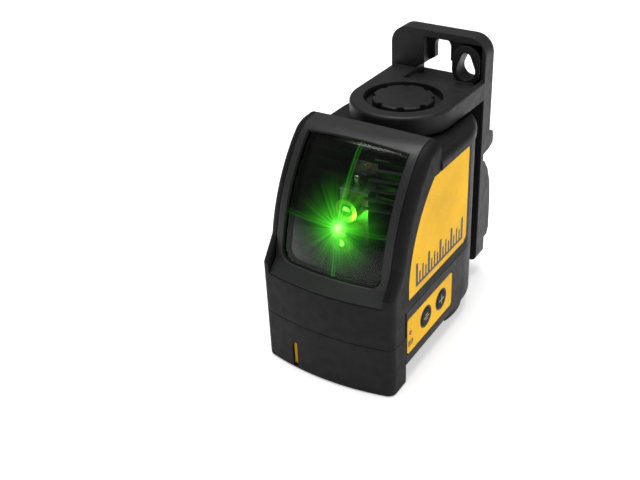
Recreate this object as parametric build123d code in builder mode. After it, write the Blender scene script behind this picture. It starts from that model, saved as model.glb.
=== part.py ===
"""Self-levelling cross-line laser level on a swivelling wall bracket, built as an assembly.

Frame: millimetres, +Z up. The origin is on the swivel axis, in the plane the level stands on, at the
mouth of the tripod thread. The window faces -Y, the bracket's back plate is at +Y, the keypad at +X.
"""

from build123d import *

import os
from math import sqrt

# ---------------------------------------------------------------- driving dimensions
# housing
half_width = 32.2  # side walls, and the radius of the round back about the swivel axis
front_y = -71.5  # front of the bumper on the centre plane
front_radius = 124.0  # the front is turned about an upright axis this far behind it
corner_radius = 4.0
least_corner_radius = 1.5  # the corners of an inside surface are never sharper than this
corner_back_y = -29.0  # only the corners in front of this are rounded
front_curve = (
    (-66.2, 50.6),
    (-64.3, 60),
    (-61.3, 71),
    (-56.6, 82),
    (-50.8, 91.5),
    (-44.8, 99),
    (-35.5, 103.9),
)  # (y, z) of the leaning front on the centre plane, from the sill up
cheek_upright_z = 49.5  # top of the upright face beside the window
wall = 2.4
seam = 0.3  # visible joint line between two mouldings
foot_y = -56.0  # back of the front foot
back_foot_y = -8.5
back_foot_radius = 29.0
belly_z = 10.0  # underside between the front foot and the back foot
bumper_z = 25.0  # top of the lower bumper
bumper_wall = 4.5
sill_z = 45.0  # foot of the window bezel
base_z = 37.5  # top of the base along the sides and round the back
rear_y = 3.0  # joint between the overmould's cheeks and the rear housing
block_y = -27.0  # back of the raised block that carries the window
block_z = 104.5
block_wall = 2.4
deck_low_z = 90.4
deck_z = 96.5
deck_radius = 32.9
roof_z = 94.2  # inside of the deck
deck_edge_radius = 3.6
deck_seam_radius = 0.6
foot_edge_radius = 1.2
foot_pad_thickness = 1.2
insert_radius = 6.0
thread_radius = 3.2
insert_height = 10.0
board_y = 16.0  # front face of the main board
board_thickness = 1.6
screw_x = 18.0
screw_z = (45.0, 83.0)
screw_radius = 1.25
screw_head_radius = 2.6
screw_head_y = 22.0
screw_boss_radius = 4.2

# window and bezel
bezel_half = 27.8
bezel_wall = 3.0
bezel_back_y = -32.0
window_half = 24.2
window_low_z = 50.6
window_inset = 1.0
window_thickness = 1.6
window_front_y = -80.0
window_back = ((-43.5, 112), (-36, 94), (-44, 80), (-50, window_low_z))  # (y, z) of the opening's back edge
window_corner_radius = 5.0

# side panels
panel_low_z = 42.4
panel_back_y = 1.2
panel_curve = ((-32.3, 90), (-46.8, 72.4), (-53.6, 50))  # (y, z) of the front edge
panel_notch = 2.4  # cut off the panel's lower back corner
panel_gap = 0.15

# bracket
nose_radius = 23.7
arm_half = 24.2
arm_low_z = 98.0
arm_high_z = 107.0
plate_y = 33.0
plate_back_y = 42.0
plate_low_z = 10.0
tab_high_z = 126.5
pocket_y = 38.5
pocket_low_z = 104.6
pocket_high_z = 123.2
boss_radius = 11.0  # swivel boss on the deck
boss_z = 103.6
bush_radius = 12.3
cap_radius = 13.8
well_radius = 17.5
well_z = 103.4
pad_y = 47.5  # back of the magnet pad
running = 0.05  # radial clearance of a running fit
pivot_screw_radius = 1.9
pivot_head_radius = 4.2
washer_radius = 16.0
cap_notches = 8
notch_radius = 1.9
plate_profile = (
    (plate_y, plate_low_z),
    (plate_back_y, plate_low_z),
    (plate_back_y, 19.8),
    (45.4, 19.8),
    (47.0, 23.5),
    (46.8, 38.4),
    (45.4, 50.5),
    (42.1, 58.7),
    (37.8, 64.5),
    (36.0, 64.5),
    (36.0, 69.0),
    (42.0, 69.5),
    (46.4, 71.0),
    (47.0, 74.0),
    (46.0, 77.6),
    (plate_back_y, 79.5),
    (plate_back_y, tab_high_z),
    (plate_y, tab_high_z),
)  # (y, z) of the back plate with its magnet pod
nose_edge_radius = 1.4
tab_corner_radius = 8.5
plate_corner_radius = 3.0
pocket_x = (-7.0, 22.2)
slot_front_y = 20.0  # the keyhole and the collar's slot are cut back from here
slot_back_y = 50.0
keyhole_half = 4.1
keyhole_z = (112.0, 118.5)  # straight part of the slot
keyhole_centre_z = 118.0
flare_half = 11.3  # widening at the foot of the keyhole
flare_height = 3.0
collar_x = 14.4
collar_z = 112.8
collar_half = 7.0
collar_reach = 4.8
slot_low = (110.4, 4.7)  # height and radius of the round ends of the slot in the collar
slot_high = (116.2, 2.5)
magnet_x = 10.0
magnet_y = 39.5
magnet_z = 37.0
magnet_radius = 7.5
magnet_length = 5.5
pad_front_y = 45.0
pad_half = 19.0
pad_z = (24.0, 50.0)
pad_gap = 0.2

# levelling pendulum
gimbal_y = -18.0
gimbal_z = 86.0
ring_half = 8.0
arm_near = 8.4  # near and far faces of the gimbal's arms and ears, from its centre
arm_far = 12.4
pivot_radius = 1.0
bearing_radius = 2.2
bob_radius = 44.0  # underside of the bob, a sphere about the gimbal centre
bob_half = 13.0
barrel_radius = 5.2
upper_z = 74.0  # axis of the upper laser
upper_front_y = -49.5
lower_z = 61.0
lower_front_y = -54.5
block_front_y = -43.0
block_back_y = -31.0
weight_half = 11.0
weight_back_y = 8.1  # back of the balance weight, set so that the pendulum hangs level

# transport lock
tab_x = -15.1  # middle of the indicator at rest, in the running position
tab_half = 2.1
lock_travel = 10.0
lock_slope = 0.12  # lift of the pad for each millimetre of slide
lock_gap = 1.5  # between the pad and the bob in the running position
mark_half = 1.9
indicator_half = 1.25  # window in the bumper through which the mark shows
indicator_z = (1.7, 14.3)
pocket_front_y = -69.2  # pocket behind the bumper's face in which the indicator slides
mark_front_y = -69.1
tab_front_y = -68.3
tab_back_y = -67.2
lug_half = 4.5  # thumb lug in the underside of the front foot
lug_y = (-63.0, -58.4)
lug_z = (0.5, 1.8)

# keypad and batteries
button_y = (-38.1, -23.4)
button_z = 24.3
button_radius = 4.4
strip_x = 31.0  # floor of the keypad's recess
button_x = 29.5  # back of the buttons' flanges
keypad_board_x = (27.6, 28.6)
cell_x = 0.4
cell_radius = 7.1
cell_length = 49.4
cell_y = (-46.5, -31.2, -15.9)
cell_z = 19.8
cavity_low_x = -29.1
cavity_high_x = 26.0
cavity_front_y = -54.9
cavity_z = 27.5
floor_z = 29.5  # top of the battery compartment's roof
hinge_y = -53.0
hinge_z = 12.1
hinge_radius = 0.8
knuckle_x = 18.0
knuckle_half = 4.0
knuckle_radius = 1.65
door_thickness = 2.0
terminal_radius = 2.7
terminal_length = 1.2
coil_radius = 2.6  # the springs' narrow end, which widens by the step at each turn
coil_step = 0.5
coil_pitch = 1.1
wire_radius = 0.6
recess_y = (-55.1, -12.2)  # keypad's recess
recess_z = (14.6, 32.9)
recess_gap = 0.2
flange_radius = 5.1
flange_thickness = 0.25
button_height = 3.1
light_place = (-52.3, 25.0)  # (y, z)
light_radius = 1.0

os.makedirs("parts", exist_ok=True)
front_axis_y = front_y + front_radius
far = 200.0  # reach of a cutting box


def finish(builder, name):
    """Labels a finished piece and writes its STEP file."""
    builder.part.label = name
    export_step(builder.part, f"parts/{name}.step")


def block(low, high, mode=Mode.ADD):
    """A box given by its lowest and highest corners."""
    with Locations(tuple((a + b) / 2 for a, b in zip(low, high))):
        Box(*[b - a for a, b in zip(low, high)], mode=mode)


def rod(point, direction, radius, length, mode=Mode.ADD):
    """A cylinder from a point along a direction."""
    with Locations(Plane(origin=point, z_dir=direction)):
        Cylinder(radius, length, align=(Align.CENTER, Align.CENTER, Align.MIN), mode=mode)


# ---------------------------------------------------------------- shared envelopes
def plan(inset, z_low, z_high, rounded=True):
    """Prism with the level's plan outline: bowed front, straight sides, half-round back."""
    half = half_width - inset
    side_front_y = front_axis_y - sqrt((front_radius - inset) ** 2 - half**2)
    with BuildPart() as prism:
        with BuildSketch(Plane.XY.offset(z_low)) as outline:
            with BuildLine():
                Line((half, 0), (half, side_front_y))
                ThreePointArc((half, side_front_y), (0, front_y + inset), (-half, side_front_y))
                Line((-half, side_front_y), (-half, 0))
                ThreePointArc((-half, 0), (0, half), (half, 0))
            make_face()
            if rounded:
                fillet(outline.vertices().group_by(Axis.Y)[0], max(corner_radius - inset, least_corner_radius))
        extrude(amount=z_high - z_low)
    return prism.part


def leaning_front(depth, cheek):
    """Solid turned about the upright axis behind the level, bounded by the leaning front.

    Each point is moved back and down by the depth. The cheeks beside the window keep the bumper's
    upright face a little higher than the sill does.
    """
    upright_z = cheek_upright_z if cheek else sill_z
    curve_points = front_curve[1:] if cheek else front_curve
    points = [(y + depth, z - depth) for y, z in curve_points]
    with BuildPart() as solid:
        with BuildSketch(Plane.YZ):
            with BuildLine():
                Polyline(
                    (front_axis_y, -1),
                    (front_y + depth, -1),
                    (front_y + depth, upright_z - depth),
                    points[0],
                )
                curve = Spline(*points, tangents=((0.2, 1), (1, 0.12)))
                Polyline(curve @ 1, (block_y + 1, block_z - depth), (front_axis_y, block_z - depth))
                Line((front_axis_y, block_z - depth), (front_axis_y, -1))
            make_face()
        revolve(axis=Axis((0, front_axis_y, 0), (0, 0, 1)))
    return solid.part


def envelope(inset, cheek=True):
    """The housing's whole outside, moved inwards by an inset. At no inset its front edges are rounded."""
    with BuildPart() as solid:
        add(plan(inset, 0, block_z, rounded=inset > 0))
        add(leaning_front(inset, cheek), mode=Mode.INTERSECT)
        if inset == 0:
            corners = solid.edges().filter_by(
                lambda edge: abs(edge.center().X) > half_width - 0.5 and edge.center().Z > 1
            )
            fillet(corners.filter_by(lambda edge: edge.center().Y < corner_back_y), corner_radius)
    return solid.part


def window_cutter(gap):
    """The window opening: a leaning band across the front, with rounded lower corners."""
    half = window_half - gap
    (top_y, top_z), (upper_y, upper_z), (middle_y, middle_z), (low_y, low_z) = window_back
    with BuildPart() as cutter:
        with BuildSketch(Plane.YZ):
            with BuildLine():
                Polyline(
                    (window_front_y, low_z + gap),
                    (window_front_y, top_z),
                    (top_y - gap, top_z),
                    (upper_y - gap, upper_z),
                    (middle_y, middle_z),
                    (low_y, low_z + gap),
                    close=True,
                )
            make_face()
        extrude(amount=half, both=True)
        with BuildSketch(Plane.XZ) as front_view:
            with Locations((0, low_z + gap)):
                Rectangle(2 * half, far, align=(Align.CENTER, Align.MIN))
            fillet(front_view.vertices().group_by(Axis.Y)[0], window_corner_radius - gap)
        extrude(amount=far, mode=Mode.INTERSECT)
    return cutter.part


outside = envelope(0)
inside = envelope(wall)
bezel_outside = envelope(0, cheek=False)


def side_panel(x_low, x_high, grow, side):
    """Yellow side panel's outline between two distances from the centre plane."""
    with BuildPart() as panel:
        with BuildSketch(Plane.YZ.offset(side * x_low)) as outline:
            with BuildLine():
                ThreePointArc(*panel_curve)
                Polyline(
                    panel_curve[-1],
                    (panel_curve[-1][0], panel_low_z),
                    (panel_back_y - panel_notch, panel_low_z),
                    (panel_back_y, panel_low_z + panel_notch),
                    (panel_back_y, panel_curve[0][1]),
                    panel_curve[0],
                )
            make_face()
            fillet(outline.vertices().sort_by(Axis.X)[-2:], 1.0)
            if grow:
                offset(amount=grow)
        extrude(amount=side * (x_high - x_low))
    return panel.part


# ---------------------------------------------------------------- housing: outside shells
with BuildPart() as overmould:
    add(outside)
    block((-far, -far, -far), (far, foot_y, bumper_z + seam / 2), mode=Mode.SUBTRACT)
    block((-far, foot_y - 1, -far), (far, far, base_z + seam / 2), mode=Mode.SUBTRACT)
    block((-far, block_y, deck_low_z - seam), (far, far, far), mode=Mode.SUBTRACT)
    block((-far, rear_y, -far), (far, far, far), mode=Mode.SUBTRACT)
    with BuildPart(mode=Mode.PRIVATE) as hollow:
        add(inside)
        block((-far, block_y - block_wall, deck_low_z - seam), (far, far, far), mode=Mode.SUBTRACT)
    add(hollow.part, mode=Mode.SUBTRACT)
    block((-bezel_half - seam / 2, -far, sill_z), (bezel_half + seam / 2, far, far), mode=Mode.SUBTRACT)
    for side in (-1, 1):
        add(side_panel(strip_x, far, panel_gap, side), mode=Mode.SUBTRACT)
finish(overmould, "overmould")

with BuildPart() as window_bezel:
    block((-bezel_half + seam / 2, window_front_y, sill_z + seam), (bezel_half - seam / 2, block_y, block_z))
    add(bezel_outside, mode=Mode.INTERSECT)
    with BuildPart(mode=Mode.PRIVATE) as hollow:
        add(envelope(bezel_wall, cheek=False))
        block((-far, block_y - block_wall, -far), (far, far, far), mode=Mode.SUBTRACT)
    add(hollow.part, mode=Mode.SUBTRACT)
    block((-far, bezel_back_y, -far), (far, far, deck_z - 2), mode=Mode.SUBTRACT)
    add(window_cutter(0), mode=Mode.SUBTRACT)
finish(window_bezel, "window_bezel")

with BuildPart() as window:
    add(envelope(window_inset, cheek=False))
    add(envelope(window_inset + window_thickness, cheek=False), mode=Mode.SUBTRACT)
    add(window_cutter(0), mode=Mode.INTERSECT)
finish(window, "window")

with BuildPart() as left_panel:
    add(side_panel(strip_x, half_width, 0, -1))
finish(left_panel, "left_panel")

with BuildPart() as right_panel:
    add(side_panel(strip_x, half_width, 0, 1))
finish(right_panel, "right_panel")

screw_places = [(x, z) for x in (-screw_x, screw_x) for z in screw_z]
with BuildPart() as rear_housing:
    add(plan(0, base_z + seam, deck_low_z - seam))
    add(plan(wall, 0, far), mode=Mode.SUBTRACT)
    for x, z in screw_places:
        rod((x, board_y + board_thickness, z), (0, 1, 0), screw_boss_radius, 13.5)
    block((-far, -far, 0), (far, rear_y + seam, far), mode=Mode.SUBTRACT)
    add(plan(0, 0, far), mode=Mode.INTERSECT)
    for x, z in screw_places:
        rod((x, screw_head_y, z), (0, 1, 0), screw_head_radius + seam, 12, mode=Mode.SUBTRACT)
        rod((x, board_y, z), (0, 1, 0), screw_radius, 12, mode=Mode.SUBTRACT)
finish(rear_housing, "rear_housing")

with BuildPart() as housing_screws:
    for x, z in screw_places:
        rod((x, screw_head_y, z), (0, 1, 0), screw_head_radius, 1.8)
        rod((x, board_y + 2, z), (0, 1, 0), screw_radius, screw_head_y - board_y - 2)
        rod((x, screw_head_y + 1, z), (0, 1, 0), 1.2, 1, mode=Mode.SUBTRACT)
finish(housing_screws, "housing_screws")

with BuildPart() as top_deck:
    add(plan(half_width - deck_radius, deck_low_z, deck_z))
    block((-far, -far, 0), (far, block_y + seam, far), mode=Mode.SUBTRACT)
    for level, radius in ((-1, deck_edge_radius), (0, deck_seam_radius)):
        rim = top_deck.edges().group_by(Axis.Z)[level]
        fillet(rim.filter_by(lambda edge: edge.center().Y > block_y + 1), radius)
    add(plan(wall, 0, roof_z), mode=Mode.SUBTRACT)
    rod((0, 0, roof_z), (0, 0, 1), boss_radius, boss_z - roof_z)
    rod((0, 0, 0), (0, 0, 1), pivot_screw_radius + 0.2, far, mode=Mode.SUBTRACT)
    rod((0, 0, 0), (0, 0, 1), pivot_head_radius + 0.2, roof_z + 1, mode=Mode.SUBTRACT)
finish(top_deck, "top_deck")

# ---------------------------------------------------------------- housing: base and bumper
stem_half = 2.0
stem_z = (6.0, 10.0)
core_z = 3.2

with BuildPart() as lower_bumper:
    add(plan(0, 0, bumper_z - seam / 2))
    fillet(lower_bumper.edges().group_by(Axis.Z)[0], foot_edge_radius)
    add(plan(bumper_wall, core_z - 0.1, far), mode=Mode.SUBTRACT)
    block((-far, foot_y, -far), (far, far, far), mode=Mode.SUBTRACT)
    block(
        (tab_x - tab_half - seam, pocket_front_y, 1.2),
        (tab_x + tab_half + lock_travel + seam, -64.5, 14.9),
        mode=Mode.SUBTRACT,
    )
    block(
        (tab_x - indicator_half, -far, indicator_z[0]),
        (tab_x + indicator_half, pocket_front_y + 1, indicator_z[1]),
        mode=Mode.SUBTRACT,
    )
    block(
        (tab_x - lug_half - 0.4, lug_y[0] - 0.4, -far),
        (tab_x + lug_half + lock_travel + 0.4, lug_y[1] + 0.4, core_z),
        mode=Mode.SUBTRACT,
    )
finish(lower_bumper, "lower_bumper")

with BuildPart() as base_housing:
    add(plan(0, belly_z, base_z - seam / 2))
    block((-far, -far, -far), (far, foot_y + seam, far), mode=Mode.SUBTRACT)
    with BuildPart(mode=Mode.PRIVATE) as core:
        add(plan(bumper_wall + 0.1, core_z, bumper_z))
        add(plan(wall + 0.1, bumper_z, sill_z - 1))
        block((-far, foot_y + seam, -far), (far, far, far), mode=Mode.SUBTRACT)
    add(core.part)
    with BuildPart(mode=Mode.PRIVATE) as back_foot:
        rod((0, 0, foot_pad_thickness), (0, 0, 1), back_foot_radius, belly_z - foot_pad_thickness)
        block((-far, -far, -far), (far, back_foot_y, far), mode=Mode.SUBTRACT)
    add(back_foot.part)
    add(plan(6.2, floor_z, far), mode=Mode.SUBTRACT)
    with BuildPart(mode=Mode.PRIVATE) as side_cut:
        add(plan(wall, floor_z, far))
        block((-far, -far, -far), (far, cavity_front_y, far), mode=Mode.SUBTRACT)
    add(side_cut.part, mode=Mode.SUBTRACT)
    with BuildPart(mode=Mode.PRIVATE) as nose_cut:
        add(plan(6.2, core_z + 1.3, floor_z + 1))
        block((-far, -57.2, -far), (far, far, far), mode=Mode.SUBTRACT)
    add(nose_cut.part, mode=Mode.SUBTRACT)
    with BuildPart(mode=Mode.PRIVATE) as rear_cut:
        add(plan(wall, belly_z + 2.5, floor_z + 1))
        block((-far, -far, -far), (far, back_foot_y + 2, far), mode=Mode.SUBTRACT)
    add(rear_cut.part, mode=Mode.SUBTRACT)
    block((cavity_low_x, cavity_front_y, 0), (cavity_high_x, back_foot_y, cavity_z), mode=Mode.SUBTRACT)
    block((27.5, cavity_front_y, belly_z + 2.5), (half_width - wall, -12, floor_z + 1), mode=Mode.SUBTRACT)
    block((cavity_low_x, cavity_front_y, belly_z), (cavity_high_x, hinge_y + 2.1, 14))
    block((cavity_low_x, hinge_y + 1.05, 0), (cavity_high_x, hinge_y + 3, hinge_z + 0.2), mode=Mode.SUBTRACT)
    for x in (-knuckle_x, knuckle_x):
        block((x - 4.3, cavity_front_y, 0), (x + 4.3, hinge_y + 2.2, 14.5), mode=Mode.SUBTRACT)
    rod(
        (cavity_low_x, hinge_y, hinge_z),
        (1, 0, 0),
        hinge_radius,
        cavity_high_x - cavity_low_x - 1,
        mode=Mode.SUBTRACT,
    )
    block((strip_x, recess_y[0], recess_z[0]), (far, recess_y[1], recess_z[1]), mode=Mode.SUBTRACT)
    for y in button_y:
        rod((button_x, y, button_z), (1, 0, 0), button_radius + 0.15, 3, mode=Mode.SUBTRACT)
    block(
        (tab_x - stem_half - 0.2, -far, stem_z[0] - 0.2),
        (tab_x + stem_half + lock_travel + 0.2, -59, stem_z[1] + 0.2),
        mode=Mode.SUBTRACT,
    )
    block(
        (tab_x - 3.8, -62.3, 0),
        (tab_x + lock_travel + 3.8, -59.1, 5),
        mode=Mode.SUBTRACT,
    )
    rod((0, 0, -1), (0, 0, 1), insert_radius, insert_height + 1, mode=Mode.SUBTRACT)
finish(base_housing, "base_housing")

with BuildPart() as back_foot_pad:
    rod((0, 0, 0), (0, 0, 1), back_foot_radius - 0.8, foot_pad_thickness)
    rod((0, 0, -1), (0, 0, 1), 6.5, 4, mode=Mode.SUBTRACT)
    block((-far, -far, -far), (far, back_foot_y + 0.8, far), mode=Mode.SUBTRACT)
finish(back_foot_pad, "back_foot_pad")

with BuildPart() as tripod_insert:
    rod((0, 0, 0), (0, 0, 1), insert_radius, insert_height)
    rod((0, 0, -1), (0, 0, 1), thread_radius, insert_height, mode=Mode.SUBTRACT)
finish(tripod_insert, "tripod_insert")

# ---------------------------------------------------------------- batteries
with BuildPart() as battery_door:
    block(
        (cavity_low_x + 0.4, hinge_y + 2.4, belly_z),
        (cavity_high_x - 0.4, back_foot_y - 0.7, belly_z + door_thickness),
    )
    for x in (-knuckle_x, knuckle_x):
        rod((x - knuckle_half, hinge_y, hinge_z), (1, 0, 0), knuckle_radius, 2 * knuckle_half)
        block(
            (x - knuckle_half, hinge_y, hinge_z - knuckle_radius),
            (x + knuckle_half, hinge_y + 3, hinge_z - 0.1),
        )
        rod((x - 5, hinge_y, hinge_z), (1, 0, 0), hinge_radius + running, 10, mode=Mode.SUBTRACT)
    block((-6, back_foot_y - 4, belly_z + 1), (6, back_foot_y - 0.9, belly_z + 2.6))
    for i in range(5):
        block((-8, -15.5 + 1.4 * i, 0), (8, -14.9 + 1.4 * i, belly_z + 0.5), mode=Mode.SUBTRACT)
finish(battery_door, "battery_door")

with BuildPart() as door_hinge_pin:
    rod((cavity_low_x, hinge_y, hinge_z), (1, 0, 0), hinge_radius, cavity_high_x - cavity_low_x - 1)
finish(door_hinge_pin, "door_hinge_pin")

with BuildPart() as battery_cells:
    for i, y in enumerate(cell_y):
        heading = 1 if i % 2 == 0 else -1
        start = cell_x - heading * cell_length / 2
        rod((start, y, cell_z), (heading, 0, 0), cell_radius, cell_length - terminal_length)
        rod((start, y, cell_z), (heading, 0, 0), terminal_radius, cell_length)
finish(battery_cells, "battery_cells")

spring_x = cell_x - cell_length / 2
with BuildPart() as battery_springs:
    for y in cell_y:
        for i in range(4):
            coil_x = spring_x - wire_radius - coil_pitch * i
            with Locations(Plane(origin=(coil_x, y, cell_z), z_dir=(1, 0, 0))):
                Torus(coil_radius + coil_step * i, wire_radius)
finish(battery_springs, "battery_springs")

with BuildPart() as battery_plates:
    for y in cell_y:
        block((cell_x + cell_length / 2, y - 5, cell_z - 5), (cavity_high_x, y + 5, cell_z + 5))
finish(battery_plates, "battery_plates")

# ---------------------------------------------------------------- keypad
with BuildPart() as keypad_strip:
    block(
        (strip_x, recess_y[0] + recess_gap, recess_z[0] + recess_gap),
        (half_width, recess_y[1] - recess_gap, recess_z[1] - recess_gap),
    )
    chamfer(keypad_strip.edges().filter_by(Axis.X), 1.0)
    for y in button_y:
        rod((button_x, y, button_z), (1, 0, 0), button_radius + 0.2, 5, mode=Mode.SUBTRACT)
    rod((button_x, *light_place), (1, 0, 0), light_radius, 5, mode=Mode.SUBTRACT)
finish(keypad_strip, "keypad_strip")

for name, y in zip(("line_button", "cross_button"), button_y):
    with BuildPart() as button:
        rod((button_x, y, button_z), (1, 0, 0), flange_radius, flange_thickness)
        rod((button_x, y, button_z), (1, 0, 0), button_radius, button_height)
        fillet(button.edges().group_by(Axis.X)[-1], 0.5)
    finish(button, name)

with BuildPart() as status_light:
    rod((strip_x, *light_place), (1, 0, 0), light_radius, half_width - strip_x + 0.15)
finish(status_light, "status_light")

with BuildPart() as keypad_board:
    block((keypad_board_x[0], -52, 15), (keypad_board_x[1], -14, 33.5))
finish(keypad_board, "keypad_board")

with BuildPart() as dome_switches:
    for y in button_y:
        rod((keypad_board_x[1], y, button_z), (1, 0, 0), 3.0, 0.35)
finish(dome_switches, "dome_switches")

# ---------------------------------------------------------------- transport lock
with BuildPart() as lock_tab:
    block((tab_x - tab_half, tab_front_y, 1.5), (tab_x + tab_half, tab_back_y, 14.5))
    block((tab_x - stem_half, tab_back_y, stem_z[0]), (tab_x + stem_half, -62, stem_z[1]))
finish(lock_tab, "lock_tab")

with BuildPart() as lock_mark:
    block((tab_x - mark_half, mark_front_y, 1.5), (tab_x + mark_half, tab_front_y, 14.5))
finish(lock_mark, "lock_mark")

carriage_low_x = tab_x - 5
carriage_high_x = tab_x + 5
bar_low_z = floor_z + 0.3
bar_high_z = bar_low_z + 1.5
ramp_high_x = 4.5
ramp_y = (gimbal_y - 6, gimbal_y + 6)
with BuildPart() as lock_carriage:
    block((carriage_low_x, -62, 5), (carriage_high_x, -59.4, bar_high_z))
    block((carriage_low_x, -62, 5), (carriage_high_x + lock_travel, -60.5, 12))
    block((tab_x - 3.5, -62, lug_z[0]), (tab_x + 3.5, -59.4, 5))
    block((tab_x - lug_half, lug_y[0], lug_z[0]), (tab_x + lug_half, lug_y[1], lug_z[1]))
    for i in range(5):
        block((tab_x - 3.9 + 1.8 * i, -far, 0), (tab_x - 3.3 + 1.8 * i, far, lug_z[0] + 0.5), mode=Mode.SUBTRACT)
    block((carriage_low_x, -62, bar_low_z), (carriage_high_x, ramp_y[1], bar_high_z))
    block((carriage_low_x, ramp_y[0], bar_low_z), (ramp_high_x, ramp_y[1], bar_high_z))
    with BuildSketch(Plane.XZ.offset(-ramp_y[0])):
        with BuildLine():
            Polyline(
                (ramp_high_x - 19, bar_high_z),
                (ramp_high_x, bar_high_z),
                (ramp_high_x - 19, bar_high_z + 19 * lock_slope),
                close=True,
            )
        make_face()
    extrude(amount=ramp_y[0] - ramp_y[1])
finish(lock_carriage, "lock_carriage")

shoe_half = 3.5
foot_gap = 0.1
pad_foot_z = bar_high_z + ramp_high_x * lock_slope + foot_gap
guide_z = (34.5, 36.5)
with BuildPart() as lock_pad:
    with BuildSketch(Plane.XZ.offset(4 - gimbal_y)):
        with BuildLine():
            Polyline(
                (-shoe_half, pad_foot_z + shoe_half * lock_slope),
                (shoe_half, pad_foot_z - shoe_half * lock_slope),
                (shoe_half, 38),
                (-shoe_half, 38),
                close=True,
            )
        make_face()
    extrude(amount=-8)
    rod((0, gimbal_y, 37.2), (0, 0, 1), 8, 5)
    with Locations((0, gimbal_y, gimbal_z)):
        Sphere(bob_radius + lock_gap, mode=Mode.SUBTRACT)
finish(lock_pad, "lock_pad")

with BuildPart() as lock_guide:
    block((-24.5, gimbal_y - 9, guide_z[0]), (24.5, gimbal_y + 9, guide_z[1]))
    block(
        (-shoe_half - 0.1, gimbal_y - 4.1, 0),
        (shoe_half + 0.1, gimbal_y + 4.1, far),
        mode=Mode.SUBTRACT,
    )
finish(lock_guide, "lock_guide")

with BuildPart() as power_switch:
    block((0.6, -61, 18), (8.6, -57.2, 26))
    block((0.2, -60, 21), (0.6, -58.5, 23))
finish(power_switch, "power_switch")

# ---------------------------------------------------------------- chassis and gimbal
beam_z = 91.5
with BuildPart() as chassis:
    for side in (-1, 1):
        low = min(side * 24.5, side * 26.3)
        block((low, -36, floor_z), (low + 1.8, 12, beam_z))
        for z in (45, 60, 75):
            rod((low - 1, -12, z), (1, 0, 0), 5, 4, mode=Mode.SUBTRACT)
    block((-26.3, -36, beam_z), (26.3, -5, roof_z - 0.4))
finish(chassis, "chassis")

with BuildPart() as light_baffle:
    block((-24.0, -37.4, 92.5), (24.0, -36, 96.2))
    for side in (-1, 1):
        low = min(side * 8.6, side * 24.0)
        block((low, -37.4, 77), (low + 15.4, -36, 96.2))
        for z in (77.6, 83.4, 89.2, 95.0):
            block((low, -39.4, z), (low + 15.4, -36.5, z + 1.2))
finish(light_baffle, "light_baffle")

with BuildPart() as hanger:
    block((-7.5, gimbal_y - arm_far, 90), (7.5, gimbal_y + arm_far, beam_z))
    for side in (-1, 1):
        low = gimbal_y + min(side * arm_near, side * arm_far)
        block((-4.5, low, 82.5), (4.5, low + arm_far - arm_near, 90))
    rod((0, gimbal_y - 15, gimbal_z), (0, 1, 0), bearing_radius, 30, mode=Mode.SUBTRACT)
finish(hanger, "hanger")

for name, direction in (("hanger_bearings", (0, 1, 0)), ("yoke_bearings", (1, 0, 0))):
    with BuildPart() as bearings:
        for side in (-1, 1):
            heading = [side * a for a in direction]
            start = (arm_near * heading[0], gimbal_y + arm_near * heading[1], gimbal_z)
            rod(start, heading, bearing_radius, arm_far - arm_near)
            rod(start, heading, pivot_radius + running, arm_far - arm_near, mode=Mode.SUBTRACT)
    finish(bearings, name)

with BuildPart() as gimbal_ring:
    block((-ring_half, gimbal_y - ring_half, 84), (ring_half, gimbal_y + ring_half, 88))
    block((-5.2, gimbal_y - 5.2, 80), (5.2, gimbal_y + 5.2, 92), mode=Mode.SUBTRACT)
    chamfer(gimbal_ring.edges().filter_by(Axis.Z).group_by(SortBy.DISTANCE)[-1], 1.5)
    rod((-12, gimbal_y, gimbal_z), (1, 0, 0), pivot_radius, 24, mode=Mode.SUBTRACT)
    rod((0, gimbal_y - 12, gimbal_z), (0, 1, 0), pivot_radius, 24, mode=Mode.SUBTRACT)
finish(gimbal_ring, "gimbal_ring")

for name, direction in (("ring_pins", (0, 1, 0)), ("yoke_pins", (1, 0, 0))):
    with BuildPart() as pins:
        for side in (-1, 1):
            heading = [side * a for a in direction]
            start = (5.4 * heading[0], gimbal_y + 5.4 * heading[1], gimbal_z)
            rod(start, heading, pivot_radius, 6.8)
    finish(pins, name)

# ---------------------------------------------------------------- pendulum
with BuildPart() as pendulum_body:
    for side in (-1, 1):
        low = min(side * arm_near, side * arm_far)
        block((low, gimbal_y - 4.5, 76), (low + arm_far - arm_near, gimbal_y + 4.5, 88.3))
    rod((-15, gimbal_y, gimbal_z), (1, 0, 0), bearing_radius, 30, mode=Mode.SUBTRACT)
    block((-arm_far, gimbal_y - 4.5, 76), (arm_far, gimbal_y + 4.5, 79.5))
    block((-6.8, block_front_y, 54.8), (6.8, block_back_y, 80.2))
    block((-6.8, block_back_y, 62), (6.8, -6, 76))
    rod((0, gimbal_y, 51), (0, 0, 1), 5.5, 14)
    rod((0, block_front_y - 1, upper_z), (0, 1, 0), barrel_radius, 9, mode=Mode.SUBTRACT)
    rod((0, block_front_y - 1, lower_z), (0, 1, 0), barrel_radius, 9, mode=Mode.SUBTRACT)
finish(pendulum_body, "pendulum_body")

with BuildPart() as bob:
    rod((0, gimbal_y, 40), (0, 0, 1), bob_half, 11)
    with Locations((0, gimbal_y, gimbal_z)):
        Sphere(bob_radius, mode=Mode.INTERSECT)
finish(bob, "bob")

with BuildPart() as balance_weight:
    block((-weight_half, -6, 62), (weight_half, weight_back_y, 76))
    chamfer(balance_weight.edges().filter_by(Axis.Z).group_by(Axis.Y)[-1], 2)
finish(balance_weight, "balance_weight")

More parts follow.
